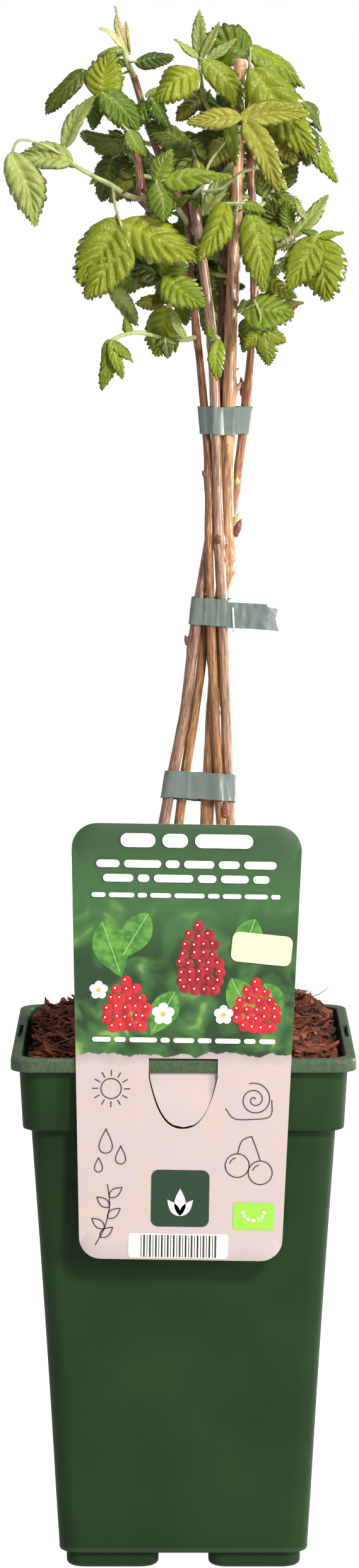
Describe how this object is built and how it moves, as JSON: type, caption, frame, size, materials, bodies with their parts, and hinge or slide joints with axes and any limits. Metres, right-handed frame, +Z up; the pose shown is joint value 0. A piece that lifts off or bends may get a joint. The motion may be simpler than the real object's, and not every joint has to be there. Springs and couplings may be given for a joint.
{
  "type": "raspberry cane in a pot",
  "caption": "Raspberry cane in a tall square pot: cut canes bound with tapes, side boughs with leafy shoots, bark mulch and a plain card label hooked over the rim.",
  "frame": {"origin": "on the ground under the middle of the pot", "axes": "+Z up along the canes, -Y towards the front, where the label hangs, +X to the right seen from the front"},
  "size_m": [0.1525, 0.1511, 0.6848],
  "materials": {
    "pot": "satin dark green moulded plastic, lighter on worn edges",
    "mulch": "matt red-brown shredded bark",
    "label": null,
    "cane": "satin tan to reddish bark with long streaks",
    "bough": "satin reddish bark",
    "tape": "satin grey-green tape",
    "leaves": "soft satin leaf, lime to deep green"
  },
  "bodies": {
    "root": {"pot": "pot", "mulch": "mulch", "label": "label", "cane_thick": "cane", "cane_pale": "cane", "cane_bent": "cane", "cane_left": "cane", "cane_short": "cane", "bough_right": "bough", "bough_left": "bough", "tie_low": "tape", "tie_middle": "tape", "tie_top": "tape", "shoot_top_left": "leaves", "shoot_top_middle": "leaves", "shoot_top_right": "leaves", "shoot_front_yellow": "leaves", "shoot_far_right": "leaves", "shoot_upper_left": "leaves", "shoot_big_left": "leaves", "shoot_middle": "leaves", "shoot_left_dark": "leaves", "shoot_centre_left": "leaves", "shoot_long_left": "leaves", "shoot_right_of_stick": "leaves", "shoot_right": "leaves", "shoot_right_low": "leaves", "shoot_low_front": "leaves", "shoot_pale_middle": "leaves", "shoot_inner": "leaves", "shoot_inner_low": "leaves", "shoot_back_1": "leaves", "shoot_back_2": "leaves", "shoot_back_3": "leaves", "shoot_back_4": "leaves", "shoot_back_5": "leaves", "shoot_back_6": "leaves", "shoot_back_7": "leaves"}
  },
  "joints": []
}
